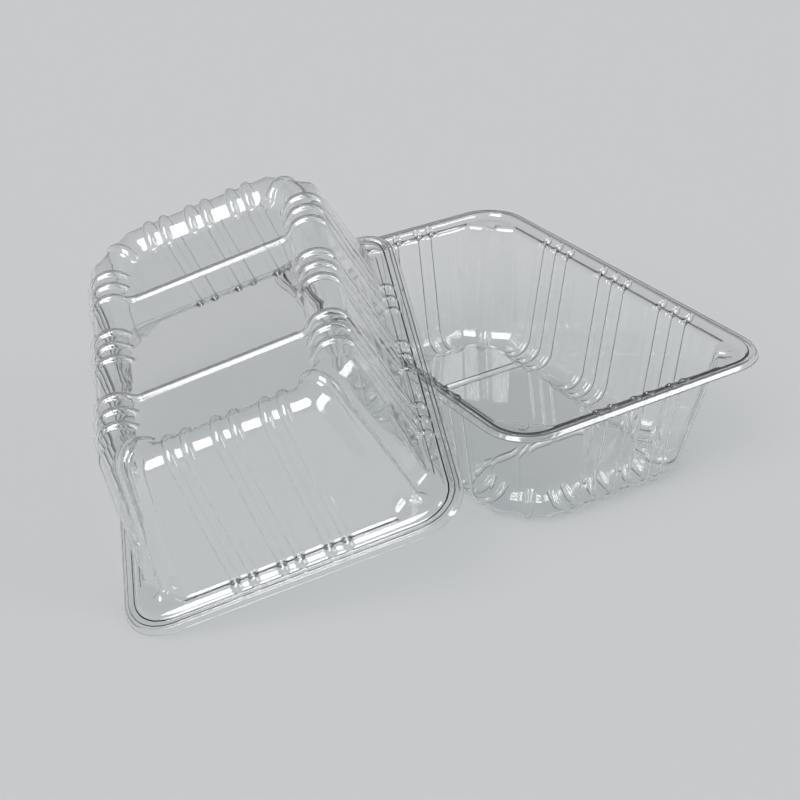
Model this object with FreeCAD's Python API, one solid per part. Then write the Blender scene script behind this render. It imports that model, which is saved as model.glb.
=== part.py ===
import FreeCAD, Part
import math
import os

# Two thermoformed clear shells with ribbed walls: an open tray, and the lift-off lid that belongs on it.
# Each shell is drawn dome up about its own centre, on the plane where the two rims meet when closed.
# The lid's skirt points away from its dome, and fits round the tray's skirt, which points the same way.
# The tray is then turned over to stand on its ribs, and the lid leans on the tray's left edge.
# All sizes are in millimetres.

# Sheet and rim
sheet = 0.5
rim_width = 140.0
rim_length = 200.0
rim_corner_radius = 20.0
rim_flat = 4.2
skirt_depth = 2.3
ledge_width = 5.9
ledge_height = 2.5
lid_fit_clearance = 0.3

# Walls, with the four corners cut off at 45 degrees
wall_lean_side = 15.4
wall_lean_end = 16.9
corner_cut_foot = 16.4
corner_cut_crest = 13.6

# Rounded crest between the walls and the recessed panel
tray_height = 60.0
lid_height = 63.9
crest_radius = 8.0
crest_land = 0.8
panel_recess = 5.4
panel_cove_radius = 6.0

# Ribs, which stand out of the walls and wrap over the crest
rib_radius = 2.8
rib_proud = 1.5
rib_foot_flat = 0.15
side_group_pitch = 41.9
side_group_spacing = 8.75
side_group_count = 3
end_group_pitch = 19.3
end_group_spacing = 7.25
end_group_count = 2
corner_rib_radius = 3.3

# Where the lid's long edge and its end edge cross the tray's rim, and how far it is turned
edge_crossing = -46.5
corner_crossing_angle = 30.0
lid_turn = -114.9
rest_gap = 0.15

# Worked out from the sizes above
ledge_half_width = rim_width / 2 - rim_flat
ledge_half_length = rim_length / 2 - rim_flat
ledge_corner_radius = rim_corner_radius - rim_flat
foot_side = ledge_half_width - ledge_width
foot_end = ledge_half_length - ledge_width
foot_corner = (foot_side + foot_end - corner_cut_foot) / math.sqrt(2)
crest_side = foot_side - wall_lean_side
crest_end = foot_end - wall_lean_end
crest_corner = (crest_side + crest_end - corner_cut_crest) / math.sqrt(2)
lid_growth = sheet + lid_fit_clearance

SIDE = 0
END = 90
CORNERS = (45, -45)


def vec(u, z):
    return FreeCAD.Vector(u, 0, z)


def arc(centre, radius, start, end):
    """Edge of a circle in the section plane, from one angle to another in degrees."""
    points = []
    for angle in (start, (start + end) / 2, end):
        t = math.radians(angle)
        points.append(centre + vec(radius * math.cos(t), radius * math.sin(t)))
    return Part.Arc(*points).toShape()


def line(a, b):
    return Part.LineSegment(a, b).toShape()


def ends(edges):
    return edges[0].Vertexes[0].Point, edges[-1].Vertexes[-1].Point


class Section:
    """Half section of a shell: the wall from its foot, over the crest and down to the panel."""

    def __init__(self, height, foot, crest):
        self.foot = vec(foot, ledge_height + sheet)
        crest_top = height - rib_proud + rib_foot_flat
        self.outer = vec(crest + crest_land / 2, crest_top - crest_radius)
        self.inner = vec(crest - crest_land / 2, crest_top - crest_radius)
        self.panel = crest_top - panel_recess
        reach = self.outer - self.foot
        swing = math.degrees(math.asin(crest_radius / reach.Length))
        self.lean = math.degrees(math.atan2(reach.z, reach.x)) - swing - 90
        rise = self.panel + panel_cove_radius - self.inner.z
        run = math.sqrt((crest_radius + panel_cove_radius) ** 2 - rise ** 2)
        self.cove = vec(self.inner.x - run, self.panel + panel_cove_radius)
        self.touch = math.degrees(math.atan2(rise, -run))

    def wall_point(self, depth, z):
        """Point on the wall's line, sunk into the wall by depth, at height z."""
        t = math.radians(self.lean)
        along = (z - self.foot.z) + depth * math.sin(t)
        return vec(self.foot.x - depth * math.cos(t) - along * math.tan(t), z)


def tunnel(edges, direction):
    """Both halves of an outline joined into a face, and drawn out along the shell."""
    reach = rim_length * 2
    start, end = ends(edges)
    loop = [line(start, vec(-start.x, start.z))]
    mirrored = [edge.mirror(FreeCAD.Vector(), FreeCAD.Vector(1, 0, 0)) for edge in edges]
    loop += mirrored
    loop.append(line(vec(-end.x, end.z), end))
    loop += edges
    face = Part.Face(Part.Wire(Part.__sortEdges__(loop)))
    solid = face.extrude(FreeCAD.Vector(0, reach, 0))
    solid.translate(FreeCAD.Vector(0, -reach / 2, 0))
    solid.rotate(FreeCAD.Vector(), FreeCAD.Vector(0, 0, 1), direction)
    return solid


def block_tunnel(section, depth, direction):
    """Wall and outer half of the crest on both sides, closed by a flat top."""
    base = section.wall_point(depth, 0)
    radius = crest_radius - depth
    bend = arc(section.outer, radius, section.lean, 90)
    return tunnel([line(base, bend.Vertexes[0].Point), bend], direction)


def pocket_tunnel(section, depth, direction):
    """Inner half of the crest and the cove down to the panel, open upwards."""
    crest = arc(section.inner, crest_radius - depth, 90, section.touch)
    cove = arc(section.cove, panel_cove_radius + depth, section.touch - 180, -90)
    top = crest.Vertexes[0].Point
    above = line(top + vec(0, crest_radius), top)
    return tunnel([above, crest, cove], direction)


def common_of(solids):
    result = solids[0]
    for solid in solids[1:]:
        result = result.common(solid)
    return result


def body(sections, depth):
    """Eight-sided dome with a rounded crest and a recessed panel, sunk by depth."""
    blocks = [block_tunnel(section, depth, direction) for section, direction in sections]
    pockets = [pocket_tunnel(section, depth, direction) for section, direction in sections]
    return common_of(blocks).cut(common_of(pockets))


def rounded_plate(half_width, half_length, radius, bottom, top):
    """Upright plate with rounded corners."""
    plate = Part.makeBox(2 * half_width, 2 * half_length, top - bottom)
    plate.translate(FreeCAD.Vector(-half_width, -half_length, bottom))
    upright = [e for e in plate.Edges if abs(e.tangentAt(0).z) > 0.5]
    return plate.makeFillet(radius, upright)


def rim_plates(depth, growth):
    """Flange, and the raised ledge inside it."""
    bottom = -2 * depth
    flange = rounded_plate(
        rim_width / 2 + growth - depth,
        rim_length / 2 + growth - depth,
        rim_corner_radius + growth - depth,
        bottom, sheet - depth)
    ledge = rounded_plate(
        ledge_half_width - depth,
        ledge_half_length - depth,
        ledge_corner_radius - depth,
        bottom, ledge_height + sheet - depth)
    return flange.fuse(ledge)


def skirt(growth, bottom, top):
    """Narrow upright wall round the edge of the flange."""
    half_width = rim_width / 2 + growth
    half_length = rim_length / 2 + growth
    radius = rim_corner_radius + growth
    outer = rounded_plate(half_width, half_length, radius, bottom, top)
    inner = rounded_plate(
        half_width - sheet,
        half_length - sheet,
        radius - sheet,
        bottom - sheet, top + sheet)
    return outer.cut(inner)


def sweep(path, radius):
    """Round bar along a path that starts in a straight run."""
    wire = Part.Wire(path)
    start = path[0].Vertexes[0].Point
    heading = path[0].Vertexes[-1].Point - start
    ring = Part.Wire(Part.Circle(start, heading, radius).toShape())
    return wire.makePipeShell([ring], True, False)


def rib(section, radius, depth, across):
    """Rib up the wall and over the crest; it dips into the panel, or runs across it."""
    sink = radius - rib_proud
    bend = crest_radius - sink
    start = section.wall_point(sink, ledge_height / 2)
    over = arc(section.outer, bend, section.lean, 90)
    far_end = section.touch if across else 180
    down = arc(section.inner, bend, 90, far_end)
    land = line(over.Vertexes[-1].Point, down.Vertexes[0].Point)
    path = [line(start, over.Vertexes[0].Point), over, land, down]
    if across:
        cove = arc(section.cove, panel_cove_radius + sink, section.touch - 180, -90)
        middle = cove.Vertexes[-1].Point
        path += [cove, line(middle, vec(0, middle.z))]
    return sweep(path, radius - depth)


def row(pitch, spacing, count):
    """Places of three groups of ribs along a wall, middle group first."""
    places = []
    for group in (0, -1, 1):
        for k in range(count):
            places.append(group * pitch + (k - (count - 1) / 2) * spacing)
    return places


def placed(bar, place, direction):
    """A rib moved along its wall, and turned to face that wall's way."""
    bar.translate(FreeCAD.Vector(0, place, 0))
    bar.rotate(FreeCAD.Vector(), FreeCAD.Vector(0, 0, 1), direction)
    return bar


def ribs(side, end, corner, depth):
    """Every rib of a shell: three groups on each wall, and one on each cut corner."""
    innermost = side_group_pitch - (side_group_count - 1) / 2 * side_group_spacing
    corner_place = (foot_end - foot_side) / math.sqrt(2)
    bars = []
    for y in row(side_group_pitch, side_group_spacing, side_group_count):
        across = math.isclose(abs(y), innermost)
        bars.append(placed(rib(side, rib_radius, depth, across), y, SIDE))
    for x in row(end_group_pitch, end_group_spacing, end_group_count):
        bars.append(placed(rib(end, rib_radius, depth, False), x, END))
    for direction in CORNERS:
        place = math.copysign(corner_place, direction)
        bars.append(placed(rib(corner, corner_rib_radius, depth, False), place, direction))
    turned = []
    for bar in bars:
        twin = bar.copy()
        twin.rotate(FreeCAD.Vector(), FreeCAD.Vector(0, 0, 1), 180)
        turned.append(twin)
    return bars + turned


def filled(height, growth, depth):
    """Everything under a shell's skin, with the skin moved inwards by depth."""
    side = Section(height, foot_side, crest_side)
    end = Section(height, foot_end, crest_end)
    corner = Section(height, foot_corner, crest_corner)
    directions = [(side, SIDE), (end, END)] + [(corner, angle) for angle in CORNERS]
    rim = rim_plates(depth, growth)
    solid = body(directions, depth).fuse([rim] + ribs(side, end, corner, depth))
    reach = rim_length * 2
    below = Part.makeBox(reach, reach, height + depth)
    below.translate(FreeCAD.Vector(-reach / 2, -reach / 2, -2 * depth))
    return solid.common(below)


def shell(height, growth, skirt_bottom, skirt_top):
    """A formed shell, dome up, with its rim's mating face at zero height."""
    skin = filled(height, growth, 0).cut(filled(height, growth, sheet))
    return skin.fuse(skirt(growth, skirt_bottom, skirt_top)).removeSplitter()


def standing(tray):
    """The tray turned over onto its ribs."""
    tray.rotate(FreeCAD.Vector(), FreeCAD.Vector(0, 1, 0), 180)
    tray.translate(FreeCAD.Vector(0, 0, tray_height))
    return tray


def leaning(lid):
    """The lid set down on three points: two on the tray's rim and one on the table.

    The lower edge of its skirt lies in one plane. The tray's rim meets that plane where
    the lid's long edge and end edge cross it, and the skirt's near corner touches the table.
    """
    t = math.radians(corner_crossing_angle)
    corner_x = -rim_width / 2 + rim_corner_radius * (1 - math.cos(t))
    corner_y = rim_length / 2 - rim_corner_radius * (1 - math.sin(t))
    rest = tray_height + rest_gap
    edge_point = FreeCAD.Vector(-rim_width / 2, edge_crossing, rest)
    corner_point = FreeCAD.Vector(corner_x, corner_y, rest)

    half_width = rim_width / 2 + lid_growth
    half_length = rim_length / 2 + lid_growth
    radius = rim_corner_radius + lid_growth
    span = (corner_point - edge_point).Length
    sine = math.sin(math.radians(lid_turn))
    cosine = math.cos(math.radians(lid_turn))
    across = sheet - half_width
    along = sheet - half_length - span * sine
    down = across * sine + along * cosine
    reach = down - (half_width - radius) * sine - (half_length - radius) * cosine + radius
    lean = math.asin(rest / reach)

    level = (corner_point - edge_point).normalize()
    downhill = FreeCAD.Vector(-level.y, level.x, 0) * math.cos(lean)
    downhill -= FreeCAD.Vector(0, 0, math.sin(lean))
    up = level.cross(downhill)
    lid_x = level * cosine + downhill * sine
    lid_y = downhill * cosine - level * sine
    centre = edge_point + lid_x * across + lid_y * along + up * skirt_depth
    turn = FreeCAD.Matrix(
        lid_x.x, lid_y.x, up.x, centre.x,
        lid_x.y, lid_y.y, up.y, centre.y,
        lid_x.z, lid_y.z, up.z, centre.z,
        0, 0, 0, 1)
    lid.Placement = FreeCAD.Placement(turn)
    return lid


def centred(pieces):
    """Both pieces moved so that the middle of their outline on the table is the origin."""
    box = Part.makeCompound(list(pieces.values())).optimalBoundingBox()
    for piece in pieces.values():
        piece.translate(FreeCAD.Vector(-box.Center.x, -box.Center.y, 0))
    return pieces


def main():
    pieces = {
        "tray": standing(shell(tray_height, 0, 0, skirt_depth)),
        "lid": leaning(shell(lid_height, lid_growth, -skirt_depth, sheet)),
    }
    os.makedirs("parts", exist_ok=True)
    for name, shape in centred(pieces).items():
        shape.exportStep("parts/" + name + ".step")


main()
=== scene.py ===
import math

import bmesh
import bpy
import numpy as np
from mathutils import Matrix, Vector


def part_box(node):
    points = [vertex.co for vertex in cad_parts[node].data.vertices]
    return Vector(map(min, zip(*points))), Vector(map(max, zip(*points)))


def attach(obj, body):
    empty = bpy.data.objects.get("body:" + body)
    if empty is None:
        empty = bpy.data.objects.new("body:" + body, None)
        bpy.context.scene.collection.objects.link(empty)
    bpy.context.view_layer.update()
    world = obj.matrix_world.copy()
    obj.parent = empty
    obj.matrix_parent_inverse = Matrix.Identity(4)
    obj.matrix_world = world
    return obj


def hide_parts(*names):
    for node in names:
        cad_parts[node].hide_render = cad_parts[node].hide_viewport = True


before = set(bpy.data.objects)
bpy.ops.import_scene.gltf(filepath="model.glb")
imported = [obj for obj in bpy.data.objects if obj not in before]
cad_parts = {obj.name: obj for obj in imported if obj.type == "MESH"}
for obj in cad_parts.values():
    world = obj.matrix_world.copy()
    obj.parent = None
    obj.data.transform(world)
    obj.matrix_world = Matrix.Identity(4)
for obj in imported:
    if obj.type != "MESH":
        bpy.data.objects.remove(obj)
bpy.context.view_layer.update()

# All sizes are in millimetres up to the last step of each mesh. A shell lies in its own frame dome
# side up, with the underside of its flange at height 0 and its long sides along y.
MM = 0.001

# Sheet and rim
SHEET = 0.5
HALF_W, HALF_L, RIM_R = 70.0, 100.0, 20.0
RIM_FLAT, LEDGE_H, SKIRT = 4.2, 2.5, 2.3
LEDGE_W, LEDGE_L = HALF_W - RIM_FLAT, HALF_L - RIM_FLAT

# Walls: their foot's distance from the ledge, how far they lean in, and what the corner facets cut off
FOOT_GAP, SIDE_LEAN, END_LEAN = 5.9, 15.4, 16.9
FOOT_CUT, CREST_CUT = 16.4, 13.6
FOOT = {"side": LEDGE_W - FOOT_GAP, "end": LEDGE_L - FOOT_GAP}
CREST = {"side": FOOT["side"] - SIDE_LEAN, "end": FOOT["end"] - END_LEAN}
FOOT["corner"] = (FOOT["side"] + FOOT["end"] - FOOT_CUT) / math.sqrt(2)
CREST["corner"] = (CREST["side"] + CREST["end"] - CREST_CUT) / math.sqrt(2)

# Rounded crest and the cove down to the recessed panel
CREST_R, CREST_LAND, COVE_R, RECESS, MARGIN = 8.0, 0.8, 6.0, 5.4, 1.2
# Roundness between neighbouring walls, at their foot and at the crest
FOOT_TURN, CREST_TURN = 4.5, 2.6

# Ribs
RIB_PROUD, RIB_R, CORNER_RIB_R, RIB_FILLET, CREST_DROP = 1.5, 2.3, 2.9, 0.3, 1.35
# Places of the ribs from the middle of a long side and of an end, and the one that crosses the panel
SIDE_RIBS = (0.0, 8.75, 33.15, 41.9, 50.65)
ACROSS = 33.15
END_RIBS = (3.625, 15.675, 22.925)
# A rib ends this far out on the ledge, and its other round end starts this far before the panel
RIB_FOOT, PANEL_NOSE = 3.5, 4.2

# Heights, and how much wider the lid is all round
TRAY_H, LID_H, LID_GROWTH = 60.0, 63.9, 0.8

# Finer rounding of the rim and ledge
FOOT_FILLET, STEP_FILLET, EDGE_ROUND, SKIRT_FLARE = 2.2, 0.5, 0.7, 0.95
SHOULDER_R, SHOULDER_START, SHOULDER_END = 4.0, 1.65, 5.2
BEAD_AT, BEAD_HALF, BEAD_H = 2.7, 0.7, 0.3
LIP, TRAY_EDGE_R, TRAY_LIP = 0.4, 0.35, 0.12

# The lid: its gap to the tray, where its rim rests, the angle on the corner it rests on, and its turn
REST_GAP, EDGE_REST, CORNER_REST, LID_TURN = 0.15, 46.5, 30.0, -114.9

# Points on the rim's edge, the bead, the step's fillet and the ledge's shoulder
EDGE_N, BEAD_N, STEP_N, SHOULDER_N = 7, 7, 5, 9
# Points on the foot's fillet, the wall, the two halves of the crest and the cove
FILLET_N, WALL_N, OUTER_N, INNER_N, COVE_N = 8, 8, 10, 7, 8
# Rows from the foot of a wall to its crest
TURN_ROWS = FILLET_N + WALL_N - 2


# Section of a shell
def bend(cx, cz, r, a0, a1, n):
    """Points on an arc of the section, from one angle to another in degrees."""
    t = np.radians(np.linspace(a0, a1, n))
    return np.stack([cx + r * np.cos(t), cz + r * np.sin(t)], 1)


def run(a, b, n):
    """Points on a straight line of the section."""
    t = np.linspace(0, 1, n)[:, None]
    return np.asarray(a) * (1 - t) + np.asarray(b) * t


def wall_section(kind, height):
    """Foot fillet, wall, crest, cove and the panel's margin, as (distance, height) rows."""
    foot_z = LEDGE_H + SHEET
    top = height - CREST_DROP
    zc = top - CREST_R
    outer, inner = CREST[kind] + CREST_LAND / 2, CREST[kind] - CREST_LAND / 2
    far_x, far_z = outer - FOOT[kind], zc - foot_z
    tangent = math.asin(CREST_R / math.hypot(far_x, far_z))
    lean = math.degrees(math.atan2(far_z, far_x)) - math.degrees(tangent) - 90
    tan, cos = math.tan(math.radians(lean)), math.cos(math.radians(lean))
    fz = foot_z + FOOT_FILLET
    fx = FOOT[kind] - FOOT_FILLET * tan + FOOT_FILLET / cos
    fillet = bend(fx, fz, FOOT_FILLET, 270, 180 + lean, FILLET_N)
    crest_out = bend(outer, zc, CREST_R, lean, 90, OUTER_N)
    wall = run(fillet[-1], crest_out[0], WALL_N)[1:-1]
    panel = top - RECESS
    rise = panel + COVE_R - zc
    swing = math.sqrt((CREST_R + COVE_R) ** 2 - rise ** 2)
    touch = math.degrees(math.atan2(rise, -swing))
    crest_in = bend(inner, zc, CREST_R, 90, touch, INNER_N)
    cove = bend(inner - swing, panel + COVE_R, COVE_R, touch - 180, -90, COVE_N)
    margin = run(cove[-1], cove[-1] - (MARGIN, 0), 3)[1:]
    rows = [fillet, wall, crest_out, crest_in, cove[1:], margin]
    # How far each row lies past the place where a rib's nose starts, at the panel
    points = np.concatenate(rows)
    steps = np.concatenate([[0], np.cumsum(np.hypot(*np.diff(points, axis=0).T))])
    cove_end = steps[-len(margin) - 1]
    return points, steps - (cove_end - PANEL_NOSE)


def rib_height(w, radius, past):
    """Height of a rib at a distance w from its middle line, with a round nose, and its half width."""
    sink = radius - RIB_PROUD
    toe = math.sqrt((radius + RIB_FILLET) ** 2 - (RIB_FILLET + sink) ** 2)
    w = np.hypot(w, np.maximum(past, 0))
    turn = toe * radius / (radius + RIB_FILLET)
    crown = np.sqrt(np.maximum(radius ** 2 - w ** 2, 0)) - sink
    blend = RIB_FILLET - np.sqrt(np.maximum(RIB_FILLET ** 2 - (toe - np.minimum(w, toe)) ** 2, 0))
    return np.where(w < turn, crown, blend), toe


# Places round the shell

# Across a rib, in parts of its half width, and one place just beside it that keeps the flat wall flat
ON_RIB = np.array([-1, -.88, -.74, -.56, -.38, -.19, 0, .19, .38, .56, .74, .88, 1])
BESIDE = 1.12
# Least distance kept between a rib and the turn next to it
CLEAR = 0.15


def stations(ribs, wide_gap=1.2, spread=5.0):
    """Distances along a wall: close together on ribs, a few between them."""
    toe = rib_height(0, RIB_R, 0)[1]
    across = np.concatenate([[-BESIDE], ON_RIB, [BESIDE]]) * toe
    places = {round(float(c + a), 4) for c in ribs for a in across if c + a >= 0}
    ordered = sorted(places)
    for a, b in zip(ordered[:-1], ordered[1:]):
        if b - a > wide_gap:
            count = max(1, int((b - a) / spread))
            places |= {round(a + (b - a) * k / (count + 1), 4) for k in range(1, count + 1)}
    if min(places) > 0:
        places.add(0.0)
    return np.array(sorted(places)), max(ordered)


SIDE_AT, SIDE_END = stations(SIDE_RIBS)
END_AT, END_END = stations(END_RIBS)
# How many places lie between the last rib and a turn, on a turn, and on either side of a facet's rib
SPREAD, TURN, FACET = 4, 6, 3


def quarter(dist, heights, roundness):
    """One quarter of an eight-sided ring, from the middle of a side to the middle of an end."""
    a, b, c = dist
    za, zb, zc = heights
    r, k = roundness, math.tan(math.radians(22.5))
    root = math.sqrt(2)
    pts = []
    limit = root * c - a - k * r
    scale = min(1.0, (limit - CLEAR) / SIDE_END)
    for v in SIDE_AT:
        pts.append((a, v * scale, za))
    for t in np.linspace(0, 1, SPREAD + 1)[1:]:
        pts.append((a, SIDE_END * scale * (1 - t) + limit * t, za))
    cx, cy = a - r, root * (c - r) - (a - r)
    for t in np.linspace(0, 1, TURN + 1)[1:]:
        f = math.radians(45 * t)
        s = t * t * (3 - 2 * t)
        pts.append((cx + r * math.cos(f), cy + r * math.sin(f), za * (1 - s) + zc * s))
    l1, l2 = c - root * a + k * r, root * b - c - k * r
    toe = rib_height(0, CORNER_RIB_R, 0)[1]
    middle = (l1 + l2) / 2
    if l2 - l1 > 2 * (toe + CLEAR):
        middle = min(max((FOOT["end"] - FOOT["side"]) / root, l1 + toe + CLEAR), l2 - toe - CLEAR)
    wide = min(toe, (l2 - l1) / 2 - .1)
    along = list(np.linspace(l1, middle - wide, FACET + 1)[1:-1])
    along += list(middle + ON_RIB * wide)
    along += list(np.linspace(middle + wide, l2, FACET + 1)[1:])
    for place in along:
        pts.append(((c - place) / root, (c + place) / root, zc))
    cx, cy = root * (c - r) - (b - r), b - r
    for t in np.linspace(0, 1, TURN + 1)[1:]:
        f = math.radians(45 + 45 * t)
        s = t * t * (3 - 2 * t)
        pts.append((cx + r * math.cos(f), cy + r * math.sin(f), zc * (1 - s) + zb * s))
    limit = root * c - b - k * r
    scale = min(1.0, (limit - CLEAR) / END_END)
    for t in np.linspace(0, 1, SPREAD + 1)[1:-1]:
        pts.append((limit * (1 - t) + END_END * scale * t, b, zb))
    for u in END_AT[::-1]:
        pts.append((u * scale, b, zb))
    return np.array(pts)


# On the rim, how far the walls' two turns lie before and after its round corner, and half the width of
# the facet's rib as a part of the way between the turns
SIDE_TURN, END_TURN, FACET_RIB_HALF = (5.8, 3.6), (4.0, 6.2), .13


def rim_quarter(inset, growth, z):
    """The same places on a ring of the rim, a rectangle with round corners."""
    half_w, half_l, r = HALF_W + growth - inset, HALF_L + growth - inset, RIM_R + growth - inset
    cx, cy = HALF_W - RIM_R, HALF_L - RIM_R
    base = RIM_R - RIM_FLAT
    side, arc = cy - SIDE_END, base * math.pi / 2
    end = side + arc
    marks = [side - SIDE_TURN[0], side - SIDE_TURN[1], end + END_TURN[0], end + END_TURN[1],
             end + cx - END_END]
    beside = .5 - FACET_RIB_HALF
    facet = np.concatenate([beside * np.linspace(0, 1, FACET + 1)[1:-1],
                            .5 + FACET_RIB_HALF * ON_RIB,
                            1 - beside + beside * np.linspace(0, 1, FACET + 1)[1:]])
    path = np.concatenate([
        np.linspace(0, marks[0], SPREAD + 1)[1:],
        np.linspace(marks[0], marks[1], TURN + 1)[1:],
        marks[1] + (marks[2] - marks[1]) * facet,
        np.linspace(marks[2], marks[3], TURN + 1)[1:],
        np.linspace(marks[3], marks[4], SPREAD + 1)[1:-1]])
    pts = [(half_w, v, z) for v in SIDE_AT]
    for p in path:
        if p < side:
            pts.append((half_w, SIDE_END + p, z))
        elif p < end:
            f = (p - side) / base
            pts.append((cx + r * math.cos(f), cy + r * math.sin(f), z))
        else:
            pts.append((cx - (p - end), half_l, z))
    pts += [(u, half_l, z) for u in END_AT[::-1]]
    return np.array(pts)


def whole(q):
    """A quarter ring mirrored round all four quarters."""
    flip_u, flip_v = np.array([-1, 1, 1]), np.array([1, -1, 1])
    parts = [q, (q * flip_u)[::-1][1:], (q * flip_u * flip_v)[1:], (q * flip_v)[::-1][1:-1]]
    return np.concatenate(parts)


def rib_table():
    """For each place round the shell: distance from its rib's middle, the rib's radius, whether it
    runs across the panel, and the wall it is on (0 side, 1 facet, 2 end)."""
    toe_c = rib_height(0, CORNER_RIB_R, 0)[1]
    rows = []
    for v in SIDE_AT:
        near = min(SIDE_RIBS, key=lambda c: abs(c - v))
        rows.append((abs(v - near), RIB_R, near == ACROSS, 0))
    rows += [(99, RIB_R, 0, 0)] * (SPREAD + TURN // 2)
    rows += [(99, RIB_R, 0, 1)] * (TURN - TURN // 2 + FACET - 1)
    rows += [(abs(f) * toe_c, CORNER_RIB_R, 0, 1) for f in ON_RIB]
    rows += [(99, RIB_R, 0, 1)] * (FACET + TURN // 2)
    rows += [(99, RIB_R, 0, 2)] * (TURN - TURN // 2 + SPREAD - 1)
    for u in END_AT[::-1]:
        near = min(END_RIBS, key=lambda c: abs(c - u))
        rows.append((abs(u - near), RIB_R, 0, 2))
    q = np.array(rows, float)
    return np.concatenate([q, q[::-1][1:], q[1:], q[::-1][1:-1]])


# A whole shell
def rim_profile(growth, upward):
    """Skirt, flange and step, as (inset, height) rows; an upward skirt rises towards the dome."""
    top = SHEET
    ledge = RIM_FLAT + growth
    if upward:
        first = run((SHEET, SKIRT), (SHEET + SKIRT_FLARE, top + TRAY_EDGE_R), 4)[:-1]
        edge = bend(SHEET + SKIRT_FLARE + TRAY_EDGE_R, top + TRAY_EDGE_R, TRAY_EDGE_R, 195, 270, EDGE_N - 1)
    else:
        low = LIP - SKIRT
        first = run((0, low), (LIP, low + LIP), 3)[:-1]
        first = np.concatenate([first, run((LIP, low + LIP), (SKIRT_FLARE, top - EDGE_ROUND), 4)[:-1]])
        edge = bend(SKIRT_FLARE + EDGE_ROUND, top - EDGE_ROUND, EDGE_ROUND, 165, 90, EDGE_N)
    foot = bend(ledge - STEP_FILLET, top + STEP_FILLET, STEP_FILLET, -90, -15, STEP_N)
    middle = ledge + FOOT_GAP - SHOULDER_START
    start = 90 + math.degrees(math.asin((SHOULDER_END - SHOULDER_START) / SHOULDER_R))
    shoulder = bend(middle, LEDGE_H + SHEET - SHOULDER_R, SHOULDER_R, start, 90, SHOULDER_N)
    flat = run((BEAD_AT - BEAD_HALF, top), (BEAD_AT + BEAD_HALF, top), BEAD_N)
    flat[:, 1] += BEAD_H / 2 * (1 + np.cos(math.pi * (flat[:, 0] - BEAD_AT) / BEAD_HALF))
    return np.concatenate([first, edge, flat, foot, shoulder])


def grid(height, growth, upward):
    """Outer skin as rows by places, before the ribs, with the ribs' heights."""
    rings = []
    for inset, z in rim_profile(growth, upward):
        rings.append(whole(rim_quarter(inset, growth, z)))
    rim_rows = len(rings)
    tables = {k: wall_section(k, height) for k in ("side", "end", "corner")}
    count = len(tables["side"][0])
    for i in range(count):
        dist = [tables[k][0][i][0] for k in ("side", "end", "corner")]
        zs = [tables[k][0][i][1] for k in ("side", "end", "corner")]
        offset = max(0.0, dist[0] - FOOT["side"])
        r = FOOT_TURN + offset - (FOOT_TURN - CREST_TURN) * min(i / TURN_ROWS, 1)
        rings.append(whole(quarter(dist, zs, r)))
    # The flat of the ledge, between the rim's shoulder and the foot of the walls
    brow, foot = rings[rim_rows - 1], rings[rim_rows]
    between = [brow * (1 - t) + foot * t for t in np.linspace(0, 1, 6)[1:-1]]
    rings = rings[:rim_rows] + between + rings[rim_rows:]
    base = np.array(rings)
    lead = rim_rows + len(between)
    # A rib ends in a round nose on the ledge outside the wall's foot, and in another at the panel
    ribs = rib_table()
    flat_place = np.abs(base[:, :, :2])
    slant = (flat_place[:, :, 0] + flat_place[:, :, 1]) / math.sqrt(2)
    beyond_end = flat_place[:, :, 1] - FOOT["end"]
    out = np.where(ribs[:, 3] == 0, flat_place[:, :, 0] - FOOT["side"],
                   np.where(ribs[:, 3] == 1, slant - FOOT["corner"], beyond_end))
    nose = np.maximum(out - RIB_FOOT, 0)
    past = np.concatenate([np.zeros(lead), tables["side"][1]])[:, None] * np.ones(len(ribs))
    past[:, ribs[:, 2] > .5] = 0
    nose = np.maximum(nose, past)
    stand = np.zeros(base.shape[:2])
    for radius in (RIB_R, CORNER_RIB_R):
        pick = ribs[:, 1] == radius
        stand[:, pick] = rib_height(ribs[pick, 0][None, :], radius, nose[:, pick])[0]
    return base, stand


def normals(p):
    """Unit normals of a grid that closes on itself sideways, on the dome's outer side."""
    sideways = np.roll(p, -1, 1) - np.roll(p, 1, 1)
    upward = np.empty_like(p)
    upward[1:-1] = p[2:] - p[:-2]
    upward[0] = p[1] - p[0]
    upward[-1] = p[-1] - p[-2]
    n = np.cross(sideways, upward)
    return n / np.linalg.norm(n, axis=2, keepdims=True)


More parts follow.
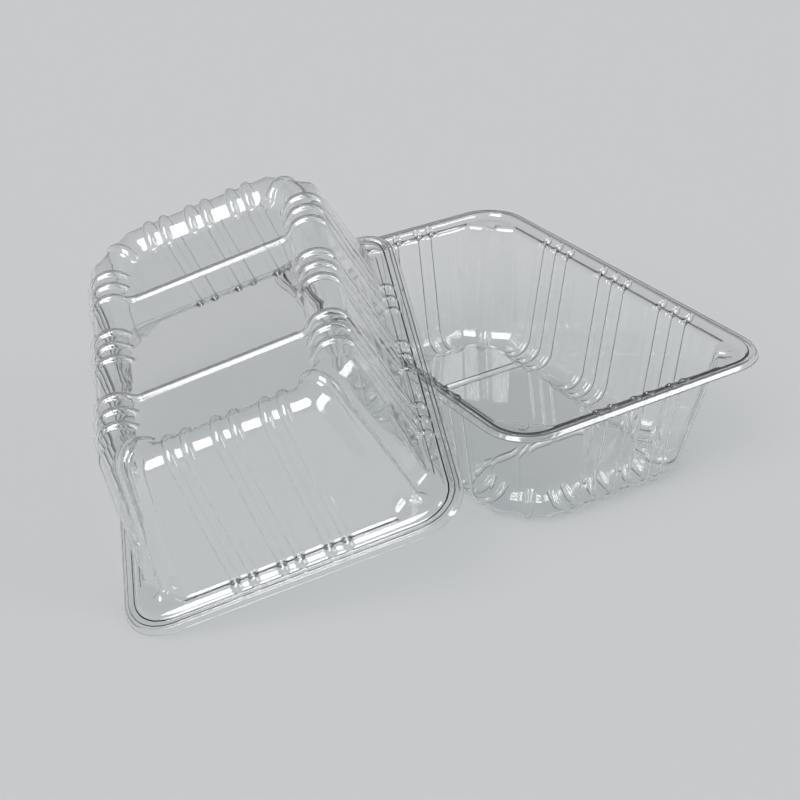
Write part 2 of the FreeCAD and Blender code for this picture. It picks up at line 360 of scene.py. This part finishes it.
def shell_mesh(name, height, growth, upward, place):
    """A closed thin shell with its ribs, placed by a function from its own frame to the scene's."""
    base, stand = grid(height, growth, upward)
    outer = base + normals(base) * stand[..., None]
    outer[..., 2] = np.minimum(outer[..., 2], height)
    skin = normals(outer)
    skin[-2:] = (0, 0, 1)
    inner = outer - skin * SHEET
    inner[..., 2] = np.minimum(inner[..., 2], height - SHEET)
    lip = (outer[0] + inner[0]) / 2 + (0, 0, TRAY_LIP if upward else 0)
    cols = outer.shape[1]
    sheets = np.concatenate([outer[::-1], lip[None], inner])
    verts = sheets.reshape(-1, 3)
    i = np.arange(len(sheets) - 1)[:, None] * cols
    j = np.arange(cols)[None, :]
    k = (j + 1) % cols
    quads = np.stack([i + j, i + k, i + cols + k, i + cols + j], -1).reshape(-1, 4)
    faces = quads.tolist()
    # The panel: strips across it under the two ribs that cross it, and flat pieces between them
    half_way = cols // 2
    toe = rib_height(0, RIB_R, 0)[1]
    lo = int(np.argmin(np.abs(SIDE_AT - (ACROSS - toe))))
    hi = int(np.argmin(np.abs(SIDE_AT - (ACROSS + toe))))
    for first in (0, (len(sheets) - 1) * cols):
        right = [first + m % cols for m in range(cols)]
        left = [first + (half_way - m) % cols for m in range(cols)]
        for m in list(range(lo, hi)) + list(range(-hi, -lo)):
            faces.append([right[m], right[m + 1], left[m + 1], left[m]])
        faces.append([right[m] for m in range(-lo, lo + 1)] + [left[m] for m in range(lo, -lo - 1, -1)])
        faces.append([right[m] for m in range(hi, half_way - hi + 1)])
        faces.append([right[-m] for m in range(hi, half_way - hi + 1)])
    mesh = bpy.data.meshes.new(name)
    mesh.from_pydata((place(verts) * MM).tolist(), [], faces)
    mesh.validate()
    obj = bpy.data.objects.new(name, mesh)
    bpy.context.scene.collection.objects.link(obj)
    # The flat pieces of the panel are not smoothed, so that they stay flat to the eye
    for face in mesh.polygons:
        face.use_smooth = len(face.vertices) == 4
    bm = bmesh.new()
    bm.from_mesh(mesh)
    bmesh.ops.recalc_face_normals(bm, faces=bm.faces)
    bm.to_mesh(mesh)
    bm.free()
    return obj


# Where the two shells lie
low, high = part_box("tray")
CENTRE = np.array([(low.x + high.x) / 2, (low.y + high.y) / 2, 0]) / MM


def stand_tray(p):
    """The tray is turned over about its long axis, and stands on its ribs."""
    return p * (-1, 1, -1) + (0, 0, TRAY_H) + CENTRE


def lean_lid(p):
    """The lid stands on two points of the tray's rim and on its own near corner."""
    t = math.radians(CORNER_REST)
    rest_z = TRAY_H + REST_GAP
    edge = np.array([-HALF_W, -EDGE_REST, rest_z])
    corner = np.array([RIM_R * (1 - math.cos(t)) - HALF_W, HALF_L - RIM_R * (1 - math.sin(t)), rest_z])
    half_w, half_l, r = HALF_W + LID_GROWTH, HALF_L + LID_GROWTH, RIM_R + LID_GROWTH
    sine, cosine = math.sin(math.radians(LID_TURN)), math.cos(math.radians(LID_TURN))
    across, along = SHEET - half_w, SHEET - half_l - np.linalg.norm(corner - edge) * sine
    down = across * sine + along * cosine
    lean = math.asin(rest_z / (down - (half_w - r) * sine - (half_l - r) * cosine + r))
    level = (corner - edge) / np.linalg.norm(corner - edge)
    downhill = np.array([-level[1], level[0], 0]) * math.cos(lean) - (0, 0, math.sin(lean))
    up = np.cross(level, downhill)
    x, y = level * cosine + downhill * sine, downhill * cosine - level * sine
    centre = edge + x * across + y * along + up * SKIRT
    return p @ np.array([x, y, up]) + centre + CENTRE


# Materials
def new_material(name):
    """A new material that uses nodes, with its node tree."""
    mat = bpy.data.materials.new(name)
    mat.use_nodes = True
    return mat, mat.node_tree


def clear_sheet(name, seed):
    """Clear thermoformed sheet: glossy, faintly cool, with the slow waves and fine haze of a drawn film."""
    mat, tree = new_material(name)
    tree.nodes.clear()
    link = tree.links.new

    def node(kind, **values):
        made = tree.nodes.new("ShaderNode" + kind)
        for key, value in values.items():
            made.inputs[key.replace("_", " ")].default_value = value
        return made

    bsdf = node("BsdfPrincipled", Base_Color=(.985, .992, .992, 1), IOR=1.57, Transmission_Weight=1)
    where = node("TexCoord")
    shift = node("Mapping", Location=(seed, seed * 2, 0))
    link(where.outputs["Object"], shift.inputs["Vector"])
    waves = node("TexNoise", Scale=30, Detail=1.5)
    link(shift.outputs["Vector"], waves.inputs["Vector"])
    bump = node("Bump", Strength=.06, Distance=.0006)
    link(waves.outputs["Fac"], bump.inputs["Height"])
    link(bump.outputs["Normal"], bsdf.inputs["Normal"])
    haze = node("TexNoise", Scale=260, Detail=4)
    link(shift.outputs["Vector"], haze.inputs["Vector"])
    level = node("MapRange", From_Min=.35, From_Max=.75, To_Min=.015, To_Max=.05)
    link(haze.outputs["Fac"], level.inputs["Value"])
    link(level.outputs["Result"], bsdf.inputs["Roughness"])
    # Shadows and soft light pass straight through the sheet, so that the floor under it isn't lit twice
    path = node("LightPath")
    either = node("Math")
    either.operation = "MAXIMUM"
    link(path.outputs["Is Shadow Ray"], either.inputs[0])
    link(path.outputs["Is Diffuse Ray"], either.inputs[1])
    through = node("BsdfTransparent", Color=(.935, .945, .945, 1))
    mix = node("MixShader")
    link(either.outputs["Value"], mix.inputs["Fac"])
    link(bsdf.outputs["BSDF"], mix.inputs[1])
    link(through.outputs["BSDF"], mix.inputs[2])
    link(mix.outputs["Shader"], node("OutputMaterial").inputs["Surface"])
    return mat


def matt(name, colour, roughness):
    """A plain matt surface without sheen."""
    mat, tree = new_material(name)
    bsdf = tree.nodes["Principled BSDF"]
    bsdf.inputs["Base Color"].default_value = (*colour, 1)
    bsdf.inputs["Roughness"].default_value = roughness
    bsdf.inputs["Specular IOR Level"].default_value = 0
    return mat


# The object
tray = shell_mesh("tray_shell", TRAY_H, 0.0, True, stand_tray)
lid = shell_mesh("lid_shell", LID_H, LID_GROWTH, False, lean_lid)
for piece, cad, slot, seed in ((tray, "tray", "tray_sheet", 0.0), (lid, "lid", "lid_sheet", 3.7)):
    piece.data.materials.append(clear_sheet(slot, seed))
    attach(piece, "root")
    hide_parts(cad)


# Floor, light and camera
def sheet_object(name, corners, material):
    """A flat piece of the stage."""
    mesh = bpy.data.meshes.new(name)
    mesh.from_pydata(corners, [], [list(range(len(corners)))])
    obj = bpy.data.objects.new(name, mesh)
    bpy.context.scene.collection.objects.link(obj)
    mesh.materials.append(material)
    return obj


# Metres from the floor's middle to its edge
FLOOR = 60
sheet_object("floor", [(-FLOOR, -FLOOR, 0), (FLOOR, -FLOOR, 0), (FLOOR, FLOOR, 0), (-FLOOR, FLOOR, 0)],
             matt("pale_grey", (.56, .565, .57), .6))

world = bpy.data.worlds.new("studio")
bpy.context.scene.world = world
world.use_nodes = True
sky = world.node_tree
toward = sky.nodes.new("ShaderNodeTexCoord").outputs["Generated"]


def reach(axis):
    """How far the direction of a ray goes along an axis."""
    dot = sky.nodes.new("ShaderNodeVectorMath")
    dot.operation = "DOT_PRODUCT"
    dot.inputs[1].default_value = axis
    sky.links.new(toward, dot.inputs[0])
    return dot.outputs["Value"]


def maths(operation, *values):
    """One operation of the world's shader, on numbers or on the outputs of others."""
    n = sky.nodes.new("ShaderNodeMath")
    n.operation = operation
    for socket, value in zip(n.inputs, values):
        if isinstance(value, (int, float)):
            socket.default_value = value
        else:
            sky.links.new(value, socket)
    return n.outputs["Value"]


def ramp(value, start, end, first, last):
    """A smooth step from one value to another."""
    n = sky.nodes.new("ShaderNodeMapRange")
    n.interpolation_type = "SMOOTHSTEP"
    sky.links.new(value, n.inputs["Value"])
    for key, number in (("From Min", start), ("From Max", end), ("To Min", first), ("To Max", last)):
        n.inputs[key].default_value = number
    return n.outputs["Result"]


# How wide a lamp's edge fades, as a tangent
SOFT_EDGE = .04


def softbox(azimuth, elevation, width, height, radiance):
    """A soft rectangular lamp far away, in a direction and of a size in degrees."""
    a, e = math.radians(azimuth), math.radians(elevation)
    away = Vector((math.sin(a) * math.cos(e), math.cos(a) * math.cos(e), math.sin(e)))
    level = Vector((math.cos(a), -math.sin(a), 0))
    depth = reach(away)
    inside = maths("GREATER_THAN", depth, 0)
    for axis, size in ((level, width), (level.cross(away), height)):
        half = math.tan(math.radians(size / 2))
        off = maths("ABSOLUTE", maths("DIVIDE", reach(axis), depth))
        inside = maths("MULTIPLY", inside, ramp(off, half - SOFT_EDGE, half + SOFT_EDGE, 1, 0))
    return maths("MULTIPLY", inside, radiance)


# A dome that is brighter near the horizon
dome = ramp(reach((0, 0, 1)), start=0, end=.8, first=.35, last=.08)
# A tall lamp on the left, and a narrow one far on the right
lamps = maths("ADD",
              softbox(azimuth=-112, elevation=46, width=35, height=50, radiance=7.0),
              softbox(azimuth=140, elevation=28, width=12, height=45, radiance=6.0))
background = sky.nodes["Background"]
background.inputs["Color"].default_value = (.98, .99, 1, 1)
sky.links.new(maths("ADD", dome, lamps), background.inputs["Strength"])

# The camera: its direction in degrees, lens and place from the tray's middle were found from the two rims
AZIMUTH, ELEVATION, ROLL = (math.radians(a) for a in (33.366, 29.322, -.487))
LENS, SENSOR, FROM_TRAY = 77.06, 36, (-417.88, -548.07, 399.64)
ahead = Vector((math.sin(AZIMUTH) * math.cos(ELEVATION),
                math.cos(AZIMUTH) * math.cos(ELEVATION),
                -math.sin(ELEVATION)))
level = Vector((math.cos(AZIMUTH), -math.sin(AZIMUTH), 0))
over = level.cross(ahead)
right = level * math.cos(ROLL) + over * math.sin(ROLL)
up = right.cross(ahead)
camera = bpy.data.cameras.new("camera")
camera.lens = LENS
camera.sensor_width = SENSOR
view = bpy.data.objects.new("camera", camera)
spot = (Vector(FROM_TRAY) + Vector(CENTRE)) * MM
turn = Matrix((right, up, -ahead)).transposed().to_4x4()
view.matrix_world = Matrix.Translation(spot) @ turn
bpy.context.scene.collection.objects.link(view)
bpy.context.scene.camera = view
bpy.context.scene.view_settings.view_transform = "Standard"
